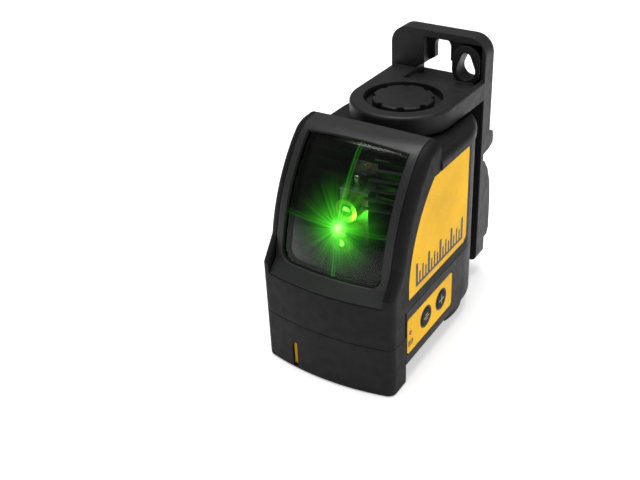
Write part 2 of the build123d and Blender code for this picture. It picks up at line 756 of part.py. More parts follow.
for name, front, z in (("upper_laser", upper_front_y, upper_z), ("lower_laser", lower_front_y, lower_z)):
    with BuildPart() as laser:
        rod((0, front, z), (0, 1, 0), barrel_radius, block_front_y + 8 - front)
        rod((0, front - 1, z), (0, 1, 0), 3.0, 4.5, mode=Mode.SUBTRACT)
    finish(laser, name)

with BuildPart() as lens_holders:
    for front, z in ((upper_front_y, upper_z), (lower_front_y, lower_z)):
        rod((0, front, z), (0, 1, 0), 3.0, 3.5)
        rod((0, front - 1, z), (0, 1, 0), 1.8, 3.5, mode=Mode.SUBTRACT)
finish(lens_holders, "lens_holders")

with BuildPart() as upper_lens:
    rod((-1.6, upper_front_y + 1.2, upper_z), (1, 0, 0), 0.8, 3.2)
finish(upper_lens, "upper_lens")

with BuildPart() as lower_lens:
    rod((0, lower_front_y + 1.2, lower_z - 1.6), (0, 0, 1), 0.8, 3.2)
finish(lower_lens, "lower_lens")

with BuildPart() as damping_magnets:
    for x in (-4, 4):
        rod((x, 0, 58.5), (0, 0, 1), 3.4, 3.5)
finish(damping_magnets, "damping_magnets")

with BuildPart() as damping_plate:
    block((-24.5, -3, 54), (24.5, 5, 55.5))
finish(damping_plate, "damping_plate")

# ---------------------------------------------------------------- electronics
with BuildPart() as main_board:
    block((-22.6, board_y, 34), (22.6, board_y + board_thickness, 88))
finish(main_board, "main_board")

with BuildPart() as board_parts:
    block((-8, board_y - 2.4, 58), (8, board_y, 74))
    for x, z in ((-17, 45), (-17, 80), (17, 45)):
        block((x - 3.5, board_y - 3.6, z - 3), (x + 3.5, board_y, z + 3))
    for z in (40, 48):
        rod((7, board_y, z), (0, -1, 0), 3.2, 6)
finish(board_parts, "board_parts")

# ---------------------------------------------------------------- swivel
with BuildPart() as friction_washer:
    rod((0, 0, deck_z), (0, 0, 1), washer_radius, arm_low_z - deck_z - 0.1)
    rod((0, 0, deck_z - 1), (0, 0, 1), boss_radius, 4, mode=Mode.SUBTRACT)
finish(friction_washer, "friction_washer")

with BuildPart() as pivot_cap:
    rod((0, 0, boss_z), (0, 0, 1), cap_radius, arm_high_z - boss_z)
    fillet(pivot_cap.edges().group_by(Axis.Z)[-1], 0.8)
    with PolarLocations(cap_radius + 0.3, cap_notches, start_angle=180 / cap_notches):
        Cylinder(notch_radius, 2 * far, mode=Mode.SUBTRACT)
    rod((0, 0, boss_z - 1), (0, 0, 1), pivot_screw_radius, 3, mode=Mode.SUBTRACT)
finish(pivot_cap, "pivot_cap")

with BuildPart() as pivot_screw:
    rod((0, 0, roof_z - 1.6), (0, 0, 1), pivot_head_radius, 2.6)
    rod((0, 0, roof_z), (0, 0, 1), pivot_screw_radius, boss_z + 2 - roof_z)
    rod((0, 0, roof_z - 3), (0, 0, 1), 1.6, 2.6, mode=Mode.SUBTRACT)
finish(pivot_screw, "pivot_screw")

with BuildPart() as swivel_bush:
    rod((0, 0, arm_low_z + 0.3), (0, 0, 1), bush_radius, well_z - arm_low_z - 0.3)
    rod((0, 0, 0), (0, 0, 1), boss_radius + running, far, mode=Mode.SUBTRACT)
finish(swivel_bush, "swivel_bush")

# ---------------------------------------------------------------- bracket
with BuildPart() as bracket:
    with BuildSketch(Plane.XY.offset(arm_low_z)):
        Circle(nose_radius)
        with BuildLine():
            Polyline(
                (nose_radius, 0), (arm_half, plate_y + 1), (-arm_half, plate_y + 1), (-nose_radius, 0), close=True
            )
        make_face()
    extrude(amount=arm_high_z - arm_low_z)
    top_edges = bracket.edges().group_by(Axis.Z)[-1]
    fillet(top_edges.filter_by(lambda edge: edge.center().Y < plate_y), nose_edge_radius)
    with BuildSketch(Plane.YZ) as profile:
        with BuildLine():
            Polyline(*plate_profile, close=True)
        make_face()
    extrude(amount=arm_half, both=True)
    fillet(bracket.edges().filter_by(Axis.Y).group_by(Axis.Z)[-1], tab_corner_radius)
    fillet(bracket.edges().filter_by(Axis.Y).group_by(Axis.Z)[0], plate_corner_radius)
    block(
        (pocket_x[0], slot_front_y, pocket_low_z),
        (pocket_x[1], pocket_y, pocket_high_z),
        mode=Mode.SUBTRACT,
    )
    with BuildSketch(Plane.XZ.offset(-slot_back_y)):
        with BuildLine():
            Polyline(
                (-flare_half, pocket_low_z),
                (-flare_half, pocket_low_z + flare_height),
                (-keyhole_half, keyhole_z[0]),
                (-keyhole_half, keyhole_z[1]),
                (keyhole_half, keyhole_z[1]),
                (keyhole_half, keyhole_z[0]),
                (flare_half, pocket_low_z + flare_height),
                (flare_half, pocket_low_z),
                close=True,
            )
        make_face()
        with Locations((0, keyhole_centre_z)):
            Circle(keyhole_half)
    extrude(amount=slot_back_y - slot_front_y, mode=Mode.SUBTRACT)
    with BuildSketch(Plane.XZ.offset(-plate_back_y)):
        with Locations((collar_x, collar_z)):
            SlotCenterToCenter(collar_reach, 2 * collar_half, rotation=90)
    extrude(amount=plate_back_y - plate_y)
    with BuildSketch(Plane.XZ.offset(-slot_back_y)):
        for z, radius in (slot_low, slot_high):
            with Locations((collar_x, z)):
                Circle(radius)
        make_hull()
    extrude(amount=slot_back_y - slot_front_y, mode=Mode.SUBTRACT)
    rod((0, 0, 90), (0, 0, 1), bush_radius, 30, mode=Mode.SUBTRACT)
    rod((0, 0, well_z), (0, 0, 1), well_radius, 30, mode=Mode.SUBTRACT)
    for x in (-magnet_x, magnet_x):
        rod((x, magnet_y, magnet_z), (0, 1, 0), magnet_radius, 20, mode=Mode.SUBTRACT)
    block((-pad_half, pad_front_y, pad_z[0]), (pad_half, far, pad_z[1]), mode=Mode.SUBTRACT)
finish(bracket, "bracket")

with BuildPart() as magnets:
    for x in (-magnet_x, magnet_x):
        rod((x, magnet_y, magnet_z), (0, 1, 0), magnet_radius, magnet_length)
finish(magnets, "magnets")

with BuildPart() as magnet_pad:
    block((pad_gap - pad_half, pad_front_y, pad_z[0] + pad_gap), (pad_half - pad_gap, pad_y, pad_z[1] - pad_gap))
    chamfer(magnet_pad.faces().sort_by(Axis.Y)[-1].edges(), 0.6)
finish(magnet_pad, "magnet_pad")
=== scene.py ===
"""Looks of a self-levelling cross-line laser level on its swivelling wall bracket.

The housing, bracket and mechanism are the frame's own solids, which get their finishes here. The window
seal, springs, thread, button marks, side scale, solder joints and lamps are surfaces worked out below.
Lengths are metres, in the frame's axes: the window faces -Y, the keypad is at +X and +Z is up.
"""

import math

import bmesh
import bpy
import numpy as np
from bpy.props import FloatProperty, FloatVectorProperty, IntProperty, PointerProperty
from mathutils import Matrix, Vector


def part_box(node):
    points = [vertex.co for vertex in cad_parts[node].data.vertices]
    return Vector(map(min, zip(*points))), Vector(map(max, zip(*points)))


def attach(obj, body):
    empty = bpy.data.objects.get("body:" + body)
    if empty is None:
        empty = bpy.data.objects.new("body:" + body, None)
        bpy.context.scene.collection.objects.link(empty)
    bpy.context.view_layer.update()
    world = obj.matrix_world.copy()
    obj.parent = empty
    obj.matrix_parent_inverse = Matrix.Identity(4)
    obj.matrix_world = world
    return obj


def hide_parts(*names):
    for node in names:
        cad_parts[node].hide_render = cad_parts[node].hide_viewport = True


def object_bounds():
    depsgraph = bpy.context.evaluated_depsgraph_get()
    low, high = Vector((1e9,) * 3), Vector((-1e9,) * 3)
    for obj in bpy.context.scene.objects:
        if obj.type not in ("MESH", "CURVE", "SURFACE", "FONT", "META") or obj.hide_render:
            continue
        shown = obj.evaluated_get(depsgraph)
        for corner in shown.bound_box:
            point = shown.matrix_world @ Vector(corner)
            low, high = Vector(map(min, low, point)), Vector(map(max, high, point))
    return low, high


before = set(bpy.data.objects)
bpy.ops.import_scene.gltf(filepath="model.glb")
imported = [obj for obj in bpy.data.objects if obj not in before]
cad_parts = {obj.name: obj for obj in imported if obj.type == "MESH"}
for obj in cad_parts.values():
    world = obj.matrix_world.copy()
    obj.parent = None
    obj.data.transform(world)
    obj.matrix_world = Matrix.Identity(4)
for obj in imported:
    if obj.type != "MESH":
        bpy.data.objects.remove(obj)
cad_low, cad_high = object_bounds()

bl_info = {
    "name": "Cross-line laser level",
    "version": (1, 0, 0),
    "blender": (4, 5, 0),
    "location": "View3D > Sidebar > Laser level",
    "description": "Gives the level its finishes, its small raised details and a studio",
    "category": "Object",
}

MM = 0.001
FRONT_AXIS_Y = 52.5 * MM  # the bowed front is turned about this upright axis
FRONT_CURVE = np.array(  # (y, z) of the leaning front on the centre plane
    [(-66.2, 50.6), (-64.3, 60), (-61.3, 71), (-56.6, 82), (-50.8, 91.5), (-44.8, 99), (-35.5, 103.9)]
) * MM
FRONT_LOW_HEADING = (0.2, 1.0)  # directions in which the leaning front starts and ends
FRONT_HIGH_HEADING = (1.0, 0.12)
PAINTED_GLOW_CENTRE = (2.0 * MM, 71.2 * MM)  # x and z of the place on the window where the painted glow of the laser's light is brightest
CLOUD_SCALE = 38.0  # slow changes of tone on a moulding, in features to the metre
CLOUD_RELIEF = 0.12 * MM
PATCH_SCALE = 260.0  # changes of shine
SHARP_ANGLE = math.radians(50)
MERGE_DISTANCE = 2e-7
SEAL_HALF = 24.15 * MM  # half width of the window seal
SEAL_Z = (50.75 * MM, 101.6 * MM)
SEAL_CORNERS = (5.0 * MM, 1.2 * MM)  # radii of its lower and upper corners
SEAL_INSET = 0.95 * MM
SEAL_STEP = 0.8 * MM
LOUVRE_COUNT = 7
LOUVRE_LOW_Z = 79.0 * MM
LOUVRE_PITCH = 3.3 * MM
LOUVRE_X = (8.8 * MM, 23.6 * MM)
LOUVRE_INSET = 4.2 * MM  # behind the front
LOUVRE_SECTION = np.array([(-0.9, -0.3), (0.9, -0.3), (1.1, 0.0), (0.9, 0.3), (-0.9, 0.3), (-1.1, 0.0)]) * MM
TRIM_OUTLINE = np.array(  # (radius, height) of the trim screw, from its foot to its domed head and slot
    [
        (0, 0), (2.6, 0), (2.6, 1.3), (1.5, 1.5), (1.5, 2.1), (1.75, 2.4), (1.5, 2.7), (1.75, 3.0), (1.5, 3.3),
        (1.75, 3.6), (1.5, 3.9), (2.3, 4.2), (2.4, 5.8), (1.9, 6.4), (0.9, 6.6), (0.8, 5.6), (0, 5.6),
    ]
) * MM
TRIM_SETBACK = 3.4 * MM  # from the front of the pendulum
TRIM_Z = 80.2 * MM
TRIM_COLUMNS = 28
BUTTON_MARKS = {  # (turn in degrees, offset, half length, half width) of each bar, in millimetres
    "line_button": ((0.0, 0.0, 2.5, 0.28), (0.0, 1.3, 1.1, 0.22), (0.0, -1.3, 1.1, 0.22)),
    "cross_button": ((90.0, 0.0, 2.5, 0.28), (0.0, 0.0, 2.5, 0.28)),
}
COLLAR_RADIUS = 4.95 * MM
COLLAR_SECTION_RADIUS = 0.35 * MM
COLLAR_FLATNESS = 0.45
COLLAR_STEPS = 40
SIGN_DROP = 5.2 * MM  # from the status lamp down to the battery sign
SIGN_BARS = np.array(  # (y, z, half length, half width) of the battery sign's bars
    [
        (0, 1.25, 1.7, 0.2),
        (0, -1.25, 1.7, 0.2),
        (-1.7, 0, 0.2, 1.45),
        (1.7, 0, 0.2, 1.45),
        (2.15, 0, 0.3, 0.55),
        (-0.75, 0, 0.45, 0.7),
        (0.55, 0, 0.45, 0.7),
    ]
) * MM
TICK_COUNT = 17
TICK_PITCH = 2.7 * MM
TICK_FIRST_Y = -47.0 * MM
SCALE_Z = 46.0 * MM  # middle of the scale's rail
RAIL_HALF = (22.6 * MM, 0.7 * MM)
CELL_ROWS = (-46.5 * MM, -31.2 * MM, -15.9 * MM)  # y of the three battery cells
COIL_RADII = (4.1 * MM, 2.4 * MM)  # of a battery spring's wide and narrow ends
THREAD_RADIUS = 3.15 * MM
THREAD_LEAD_IN = 0.6 * MM
THREAD_RELIEF = 2.2 * MM  # length of the bore that has no thread
THREAD_SECTION = np.array([(0.1, -0.55), (-0.45, -0.06), (-0.45, 0.06), (0.1, 0.55)]) * MM
SOLDER_ROWS = (  # (joints in a row, their pitch, heights of the two rows): the chip's legs, then the board's
    (12, 1.2 * MM, (57.2 * MM, 74.8 * MM)),
    (10, 4.4 * MM, (36.0 * MM, 86.0 * MM)),
)
FLOOR_HALF = 6.0
FLOOR_DROP = 0.05 * MM
CAMERA_PLACE = (0.1728, -0.3188, 0.2567)
CAMERA_TURN = (math.radians(60.65), 0.0, math.radians(28.92))
CAMERA_SHIFT = (-0.1198, -0.0561)
SPILL_PLACE = (0.0, -59.0 * MM, 66.5 * MM)
SPILL_POWER = 0.022


# ---------------------------------------------------------------- node trees
class Graph:
    """A material's node tree, with a short call for each kind of node that the finishes use."""

    def __init__(self, name):
        self.material = bpy.data.materials.new(name)
        self.material.use_nodes = True
        self.tree = self.material.node_tree
        self.tree.nodes.clear()
        self.place = self.add("ShaderNodeTexCoord").outputs["Object"]

    def add(self, kind, inputs=None, **settings):
        """Adds a node, sets its options and feeds its inputs with numbers, colours or sockets."""
        node = self.tree.nodes.new(kind)
        for key, value in settings.items():
            setattr(node, key, value)
        for key, value in (inputs or {}).items():
            if isinstance(value, bpy.types.NodeSocket):
                self.tree.links.new(value, node.inputs[key])
            else:
                node.inputs[key].default_value = value
        return node

    def noise(self, scale, detail=3.0, vector=None):
        """Cloudy noise with this many features to the metre."""
        values = {"Vector": vector or self.place, "Scale": scale, "Detail": detail}
        return self.add("ShaderNodeTexNoise", values).outputs["Fac"]

    def span(self, value, low, high, to_low=0.0, to_high=1.0):
        """Moves a range of values to another range and holds it there."""
        values = {0: value, 1: low, 2: high, 3: to_low, 4: to_high}
        return self.add("ShaderNodeMapRange", values, clamp=True).outputs[0]

    def maths(self, operation, first, second=0.0):
        """One sum on numbers or sockets."""
        return self.add("ShaderNodeMath", {0: first, 1: second}, operation=operation).outputs[0]

    def blend(self, share, first, second):
        """Mixes two colours by a share."""
        return self.add("ShaderNodeMix", {0: share, 6: first, 7: second}, data_type="RGBA").outputs[2]

    def axes(self, vector=None):
        """The x, y and z of a vector, by default the place on the object."""
        return self.add("ShaderNodeSeparateXYZ", {0: vector or self.place}).outputs

    def rounding(self, radius):
        """A normal that rounds every edge to a radius, and how near an edge the surface is."""
        rounded = self.add("ShaderNodeBevel", {"Radius": radius}, samples=4).outputs["Normal"]
        flat = self.add("ShaderNodeNewGeometry").outputs["Normal"]
        agreement = self.add("ShaderNodeVectorMath", {0: rounded, 1: flat}, operation="DOT_PRODUCT")
        return rounded, self.span(agreement.outputs["Value"], 0.985, 0.80)

    def bump(self, height, distance, normal=None):
        """Raises the surface by a height pattern of this depth."""
        values = {"Strength": 1.0, "Distance": distance, "Height": height}
        if normal is not None:
            values["Normal"] = normal
        return self.add("ShaderNodeBump", values).outputs["Normal"]

    def surface(self, colour, roughness, normal, **constants):
        """Ends the tree with one glossy shader, whose constant sockets are set on the shader itself."""
        values = {"Base Color": colour, "Roughness": roughness, "Normal": normal}
        values.update({key.replace("_", " "): value for key, value in constants.items()})
        shader = self.add("ShaderNodeBsdfPrincipled", values)
        self.add("ShaderNodeOutputMaterial", {"Surface": shader.outputs[0]})
        return self.material


def shade(colour, factor):
    """A colour made lighter or darker, with an alpha of one."""
    return (*[min(1.0, c * factor) for c in colour[:3]], 1.0)


def moulded(name, colour, rough, grain, relief, edge_radius, wear_and_highlight, level=0.5):
    """Moulded plastic or rubber: eroded grain, slow changes of tone and shine, and paler edges, partly rubbed
    wear and partly a painted highlight.
    """
    g = Graph(name)
    normal, edge = g.rounding(edge_radius)
    cloud = g.noise(CLOUD_SCALE, 4.0)
    patch = g.noise(PATCH_SCALE, 3.0)
    fine = g.noise(1.0 / grain, 2.0)
    tone = g.blend(g.span(cloud, 0.3, 0.7), shade(colour, 0.84), shade(colour, 1.18))
    tone = g.blend(g.span(fine, 0.52, 0.72, 0.0, 0.3), tone, shade(colour, 1.7))
    # Paler edges: rubbed wear together with a painted edge highlight; a high share is mostly painted highlight.
    rubbed_and_highlit = g.maths("MULTIPLY", edge, g.span(patch, 0.38, 0.62, 0.15 * wear_and_highlight, wear_and_highlight))
    tone = g.blend(rubbed_and_highlit, tone, shade([c * 2.2 + 0.006 for c in colour], 1.0))
    roughness = g.span(patch, 0.25, 0.75, rough[0], rough[1])
    raised = g.bump(fine, relief, g.bump(cloud, CLOUD_RELIEF, normal))
    return g.surface(tone, roughness, raised, Specular_IOR_Level=level)


def turned_metal(name, colour, rough, edge_radius, axis, tarnish):
    """Machined metal: tool lines round an axis, cloudy tarnish, and edges painted brighter as a highlight."""
    g = Graph(name)
    normal, edge = g.rounding(edge_radius)
    stretch = [1.0, 1.0, 1.0]
    stretch[axis] = 40.0
    scaled = g.add("ShaderNodeMapping", {"Vector": g.place, "Scale": stretch}).outputs[0]
    lines = g.noise(120.0, 2.0, scaled)
    cloud = g.noise(180.0, 4.0)
    tone = g.blend(g.span(cloud, 0.4, 0.7, 0.0, tarnish), shade(colour, 1.0), shade(colour, 0.45))
    # Edges made paler: a painted highlight.
    tone = g.blend(g.maths("MULTIPLY", edge, 0.6), tone, shade(colour, 1.35))
    roughness = g.span(lines, 0.3, 0.7, rough[0], rough[1])
    return g.surface(tone, roughness, g.bump(lines, 0.00001, normal), Metallic=1.0)


def cast_metal(name, colour, rough, edge_radius):
    """Cast and tumbled alloy: a fine pebbled skin with slight staining."""
    g = Graph(name)
    normal, edge = g.rounding(edge_radius)
    pebbles = g.add("ShaderNodeTexVoronoi", {"Vector": g.place, "Scale": 2600.0}).outputs["Distance"]
    cloud = g.noise(140.0, 4.0)
    tone = g.blend(g.span(cloud, 0.35, 0.7), shade(colour, 1.05), shade(colour, 0.7))
    # Edges made paler: a painted highlight.
    tone = g.blend(g.maths("MULTIPLY", edge, 0.5), tone, shade(colour, 1.4))
    roughness = g.span(cloud, 0.3, 0.7, rough[0], rough[1])
    return g.surface(tone, roughness, g.bump(pebbles, 0.00003, normal), Metallic=1.0)


def board(name, colour):
    """Circuit board: solder mask over copper tracks, with bare edges of woven glass."""
    g = Graph(name)
    normal, edge = g.rounding(0.0002)
    tracks = g.add(
        "ShaderNodeTexVoronoi", {"Vector": g.place, "Scale": 260.0}, feature="DISTANCE_TO_EDGE"
    ).outputs["Distance"]
    copper = g.span(tracks, 0.06, 0.03)
    weave = g.noise(1800.0, 2.0)
    tone = g.blend(copper, shade(colour, 0.8), shade(colour, 2.2))
    tone = g.blend(edge, tone, (0.32, 0.30, 0.16, 1.0))
    tone = g.blend(g.span(weave, 0.45, 0.75, 0.0, 0.35), tone, shade(colour, 0.5))
    roughness = g.span(weave, 0.3, 0.7, 0.22, 0.4)
    return g.surface(tone, roughness, g.bump(copper, 0.00004, normal), Coat_Weight=0.4, Coat_Roughness=0.15)


def cell_wrap(name, colour, band):
    """Battery cells: a shrunk plastic sleeve with a band round one end, and bare steel end faces."""
    g = Graph(name)
    normal = g.rounding(0.5 * MM)[0]
    facing = g.axes(g.add("ShaderNodeTexCoord").outputs["Normal"])["X"]
    end_face = g.span(g.maths("ABSOLUTE", facing), 0.6, 0.8)
    along = g.maths("ABSOLUTE", g.axes()["X"])
    scuffs = g.noise(420.0, 5.0)
    tone = g.blend(g.span(along, 0.0172, 0.0176), shade(colour, 1.0), shade(band, 1.0))
    tone = g.blend(g.span(scuffs, 0.55, 0.8, 0.0, 0.35), tone, shade(colour, 3.0))
    tone = g.blend(end_face, tone, (0.62, 0.60, 0.56, 1.0))
    roughness = g.span(scuffs, 0.3, 0.75, 0.2, 0.42)
    bumped = g.bump(scuffs, 0.00003, normal)
    return g.surface(tone, roughness, bumped, Coat_Weight=0.3, Coat_Roughness=0.2)


def lit_part(name, colour, light, strength):
    """Clear or frosted plastic that glows evenly from within."""
    g = Graph(name)
    normal = g.rounding(0.3 * MM)[0]
    haze = g.noise(900.0, 3.0)
    tone = g.blend(g.span(haze, 0.3, 0.7), shade(colour, 0.85), shade(colour, 1.1))
    roughness = g.span(haze, 0.3, 0.7, 0.08, 0.25)
    values = {"Emission_Color": (*light[:3], 1.0), "Emission_Strength": strength}
    return g.surface(tone, roughness, g.bump(haze, 0.00001, normal), **values)


def smoked_window(name, tint, light, strength):
    """Smoked clear plastic, with a painted glow in it that stands for the laser's scattered light.

    A soft mirror is mixed over a tinted clear sheet by the angle of view. The glow is painted light, an
    emission on the
    window itself: it falls off with the distance from the beam, is drawn out into fine rays, and is stronger
    along the upright and the level fans.
    """
    g = Graph(name)
    place = g.axes()
    across = g.maths("SUBTRACT", place["X"], PAINTED_GLOW_CENTRE[0])
    up = g.maths("SUBTRACT", place["Z"], PAINTED_GLOW_CENTRE[1])
    squares = g.maths("ADD", g.maths("MULTIPLY", across, across), g.maths("MULTIPLY", up, up))
    distance = g.maths("SQRT", squares)
    angle = g.maths("ARCTAN2", up, across)
    heading = g.add(
        "ShaderNodeCombineXYZ", {0: g.maths("COSINE", angle), 1: g.maths("SINE", angle), 2: 0.37}
    ).outputs[0]
    rays = g.span(g.noise(7.0, 3.0, heading), 0.35, 0.68, 0.25, 1.6)
    halo = g.maths("POWER", g.span(distance, 0.0, 0.024, 1.0, 0.0), 2.6)
    core = g.maths("POWER", g.span(distance, 0.0, 0.0055, 1.0, 0.0), 2.0)
    upright = g.maths("MULTIPLY", g.span(g.maths("ABSOLUTE", across), 0.0, 0.00055, 1.0, 0.0), 0.24)
    level = g.maths("MULTIPLY", g.span(g.maths("ABSOLUTE", up), 0.0, 0.00055, 1.0, 0.0), 0.10)
    fans = g.maths("MULTIPLY", g.maths("ADD", upright, level), g.span(distance, 0.004, 0.05, 1.0, 0.15))
    haze = g.maths("MULTIPLY", g.maths("POWER", g.span(distance, 0.0, 0.0125, 1.0, 0.0), 1.5), 0.30)
    rayed_halo = g.maths("MULTIPLY", halo, g.maths("MULTIPLY", rays, 0.46))
    glow = g.maths("ADD", rayed_halo, g.maths("ADD", fans, haze))
    glow = g.maths("ADD", glow, g.maths("MULTIPLY", core, 0.9))
    tone = g.blend(g.maths("MINIMUM", core, 1.0), (*light[:3], 1.0), (0.42, 1.0, 0.24, 1.0))
    smudge = g.noise(130.0, 4.0)
    clear = g.add("ShaderNodeBsdfTransparent", {"Color": (*tint[:3], 1.0)}).outputs[0]
    roughness = g.span(smudge, 0.4, 0.75, 0.10, 0.19)
    sheen = g.add("ShaderNodeBsdfGlossy", {"Roughness": roughness}).outputs[0]
    mirror = g.add("ShaderNodeFresnel", {"IOR": 1.30}).outputs[0]
    sheet = g.add("ShaderNodeMixShader", {0: mirror, 1: clear, 2: sheen}).outputs[0]
    glow = g.maths("MULTIPLY", glow, strength)
    # Painted light: the glow is an emission on the window, standing for the laser's light scattered in the
    # plastic.
    lit = g.add("ShaderNodeEmission", {"Color": tone, "Strength": glow}).outputs[0]
    whole = g.add("ShaderNodeAddShader", {0: sheet, 1: lit}).outputs[0]
    g.add("ShaderNodeOutputMaterial", {"Surface": whole})
    return g.material


def floor_finish(name, colour):
    """Matte studio paper with slow, barely seen changes of tone."""
    g = Graph(name)
    tooth = g.noise(3.0, 2.0)
    tone = g.blend(g.span(tooth, 0.3, 0.7), shade(colour, 0.99), shade(colour, 1.0))
    roughness = g.span(tooth, 0.3, 0.7, 0.85, 0.95)
    values = {"Emission_Color": (1.0, 1.0, 1.0, 1.0), "Emission_Strength": 0.45}
    return g.surface(tone, roughness, g.bump(tooth, 0.0005), **values)


# ---------------------------------------------------------------- surfaces
def put(name, points, body, finish, replaced=(), closed_rows=False):
    """Makes one piece from grids of points and rides it on a body.

    Points have the shape (copies, rows, columns, 3). Each row closes on itself, and neighbouring points
    along and between the rows are joined by quads. Points that coincide at a pole or a seam are merged.
    """
    copies, rows, columns = points.shape[:3]
    index = np.arange(copies * rows * columns).reshape(copies, rows, columns)
    if closed_rows:
        index = np.concatenate([index, index[:, :1]], axis=1)
    around = np.roll(index, -1, axis=2)
    quads = np.stack([index[:, :-1], around[:, :-1], around[:, 1:], index[:, 1:]], axis=-1).reshape(-1, 4)
    mesh = bpy.data.meshes.new(name)
    mesh.vertices.add(copies * rows * columns)
    mesh.vertices.foreach_set("co", np.ascontiguousarray(points, dtype=np.float32).ravel())
    mesh.loops.add(quads.size)
    mesh.loops.foreach_set("vertex_index", quads.astype(np.int32).ravel())
    mesh.polygons.add(len(quads))
    mesh.polygons.foreach_set("loop_start", np.arange(0, quads.size, 4, dtype=np.int32))
    mesh.update(calc_edges=True)
    shape = bmesh.new()
    shape.from_mesh(mesh)
    bmesh.ops.remove_doubles(shape, verts=shape.verts, dist=MERGE_DISTANCE)
    bmesh.ops.recalc_face_normals(shape, faces=shape.faces)
    shape.to_mesh(mesh)
    shape.free()
    mesh.polygons.foreach_set("use_smooth", np.ones(len(mesh.polygons), dtype=bool))
    mesh.set_sharp_from_angle(angle=SHARP_ANGLE)
    mesh.materials.append(finish)
    piece = bpy.data.objects.new(name, mesh)
    bpy.context.scene.collection.objects.link(piece)
    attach(piece, body)
    if replaced:
        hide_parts(*replaced)
    return piece


def pads(centres, along, across, normal, half_along, half_across, height, power=2.6, columns=20):
    """Rounded pads standing on a flat face.

    Round the rim the outline is a superellipse, where |a / half_along| ^ p + |b / half_across| ^ p = 1.
    From the middle outwards the top falls as an ellipse to the rim, then drops straight to a flat base.
    """
    turn = np.linspace(0, 2 * np.pi, columns, endpoint=False)
    cosine, sine = np.cos(turn), np.sin(turn)
    rim_a = np.sign(cosine) * np.abs(cosine) ** (2 / power)
    rim_b = np.sign(sine) * np.abs(sine) ** (2 / power)
    reach = np.array([0.0, 0.45, 0.75, 0.92, 1.0, 1.0, 0.0])
    rise = np.array([1.0, 0.97, 0.88, 0.70, 0.45, 0.0, 0.0])
    centres = np.atleast_2d(centres)[:, None, None, :]
    along = np.atleast_2d(along)[:, None, None, :]
    across = np.atleast_2d(across)[:, None, None, :]
    half_along = np.reshape(half_along, (-1, 1, 1, 1))
    half_across = np.reshape(half_across, (-1, 1, 1, 1))
    out_a = (reach[:, None] * rim_a)[None, :, :, None]
    out_b = (reach[:, None] * rim_b)[None, :, :, None]
    lift = rise[None, :, None, None] * height * np.asarray(normal)
    return centres + along * half_along * out_a + across * half_across * out_b + lift


def carried(path, section, up, closed=False):
    """A section carried along a path.

    At each point the section's first axis is square to the path and to the up direction, and its second
    is square to both. An open path is closed at its ends by drawing the section in to the path.
    """
    ahead = np.roll(path, -1, axis=0) - np.roll(path, 1, axis=0) if closed else np.gradient(path, axis=0)
    ahead /= np.linalg.norm(ahead, axis=1, keepdims=True)
    side = np.cross(ahead, up)
    side /= np.linalg.norm(side, axis=1, keepdims=True)
    top = np.cross(side, ahead)
    points = path[:, None] + side[:, None] * section[None, :, :1] + top[:, None] * section[None, :, 1:]
    if not closed:
        first = np.repeat(path[:1, None], len(section), axis=1)
        last = np.repeat(path[-1:, None], len(section), axis=1)
        points = np.concatenate([first, points, last])
    return points[None]


def ring_section(radius, columns=10, flat=1.0):
    """A circle or an ellipse of points, as a section."""
    turn = np.linspace(0, 2 * np.pi, columns, endpoint=False)
    return np.stack([radius * np.cos(turn), radius * flat * np.sin(turn)], axis=1)


def front_line(steps=160):
    """The leaning front's centre line: a cubic through its points, each piece by Hermite's weights."""
    gaps = np.linalg.norm(np.diff(FRONT_CURVE, axis=0), axis=1)
    reach = np.concatenate([[0.0], np.cumsum(gaps)])
    slope = np.gradient(FRONT_CURVE, reach, axis=0)
    slope[0] = np.array(FRONT_LOW_HEADING) / math.hypot(*FRONT_LOW_HEADING)
    slope[-1] = np.array(FRONT_HIGH_HEADING) / math.hypot(*FRONT_HIGH_HEADING)
    place = np.linspace(0, reach[-1], steps)
    index = np.clip(np.searchsorted(reach, place, side="right") - 1, 0, len(gaps) - 1)
    gap = gaps[index][:, None]
    t = ((place - reach[index]) / gaps[index])[:, None]
    start, end = FRONT_CURVE[index], FRONT_CURVE[index + 1]
    return (
        (2 * t**3 - 3 * t**2 + 1) * start
        + (t**3 - 2 * t**2 + t) * gap * slope[index]
        + (3 * t**2 - 2 * t**3) * end
        + (t**3 - t**2) * gap * slope[index + 1]
    )


def on_front(x, z, inset):
    """Points on the bowed, leaning front at x and z, sunk by an inset."""
    line = front_line()
    centre_y = np.interp(z + inset, line[:, 1], line[:, 0]) + inset
    y = FRONT_AXIS_Y - np.sqrt((FRONT_AXIS_Y - centre_y) ** 2 - x**2)
    return np.stack([x, y, z], axis=-1)


def rounded_loop(half, low, high, low_radius, high_radius, step):
    """A rectangle's outline with rounded corners, as (x, z) points about a step apart."""
    corners = []
    for x_sign, z_edge, z_sign, radius, start in (
        (1, high, -1, high_radius, 0),
        (-1, high, -1, high_radius, 90),
        (-1, low, 1, low_radius, 180),
        (1, low, 1, low_radius, 270),
    ):
        turn = np.radians(start + np.linspace(0, 90, 9))
        centre = (x_sign * (half - radius), z_edge + z_sign * radius)
        corners.append(np.array(centre) + radius * np.stack([np.cos(turn), np.sin(turn)], axis=1))
    loop = np.concatenate(corners)
    ring = np.concatenate([loop, loop[:1]])
    reach = np.concatenate([[0.0], np.cumsum(np.linalg.norm(np.diff(ring, axis=0), axis=1))])
    place = np.linspace(0, reach[-1], int(reach[-1] / step), endpoint=False)
    return np.stack([np.interp(place, reach, ring[:, 0]), np.interp(place, reach, ring[:, 1])], axis=1)


